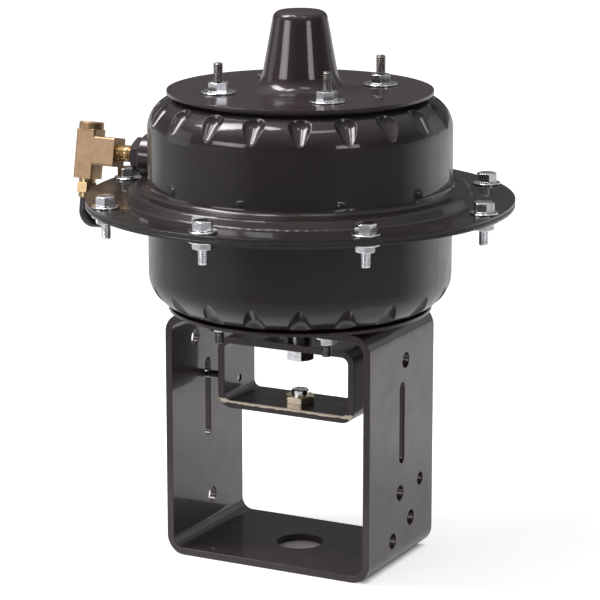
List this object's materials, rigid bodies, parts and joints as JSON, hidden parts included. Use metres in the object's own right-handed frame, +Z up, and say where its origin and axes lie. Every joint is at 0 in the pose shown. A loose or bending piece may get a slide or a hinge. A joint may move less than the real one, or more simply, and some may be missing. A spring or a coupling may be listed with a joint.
{
  "type": "pneumatic valve actuator",
  "caption": "Spring-return diaphragm actuator with two bolted pressed cans, a cone cap, a bent band yoke, a sliding stem bracket and a brass air tee.",
  "frame": {"origin": "centre of the valve bore in the foot of the yoke, at the yoke's underside", "axes": "+Z up along the stem towards the cone cap, +X across the width of the yoke away from the air tee, +Y towards the rear"},
  "size_m": [0.3636, 0.33, 0.4274],
  "materials": {
    "paint": "gloss",
    "zinc": "bright",
    "steel": "plain",
    "spring_steel": "satin",
    "brass": "satin",
    "bronze": "satin",
    "rubber": "matte",
    "gasket": "matte",
    "nylon": "satin"
  },
  "bodies": {
    "casing": {"upper_can": "paint", "lower_can": "paint", "top_cap": "paint", "bottom_plate": "paint", "yoke_spacer": "paint", "cap_gasket": "gasket", "bottom_gasket": "gasket", "upper_stud_ring": "spring_steel", "lower_stud_ring": "spring_steel", "cap_washers": "zinc", "cap_nuts": "zinc", "yoke_washers": "zinc", "yoke_nuts": "zinc", "flange_bolts": "zinc", "upper_washers": "zinc", "lower_washers": "zinc", "flange_nuts": "zinc", "diaphragm": "rubber", "spring": "spring_steel", "spring_seat": "steel", "stem_guide": "steel", "guide_bush": "bronze", "stem_wiper": "rubber", "yoke": "paint", "port_boss": "paint", "close_nipple": "brass", "tee": "brass", "tube_adapter": "brass", "tube_elbow": "nylon"},
    "stem_train": {"piston": "steel", "clamp_plate": "steel", "lock_washer": "zinc", "lock_nut": "zinc", "stem": "steel", "stem_bracket": "paint", "stem_bolt": "zinc", "stem_connector": "brass", "connector_screw": "zinc", "guide_screw": "spring_steel"}
  },
  "joints": [
    {"name": "stem_slide", "type": "slide", "parent": "casing", "child": "stem_train", "axis": [0, 0, -1], "range_m": [0, 0.038], "stiffness_N_per_m": 29000, "springref_m": -0.023, "deforming": ["spring", "diaphragm"]}
  ]
}
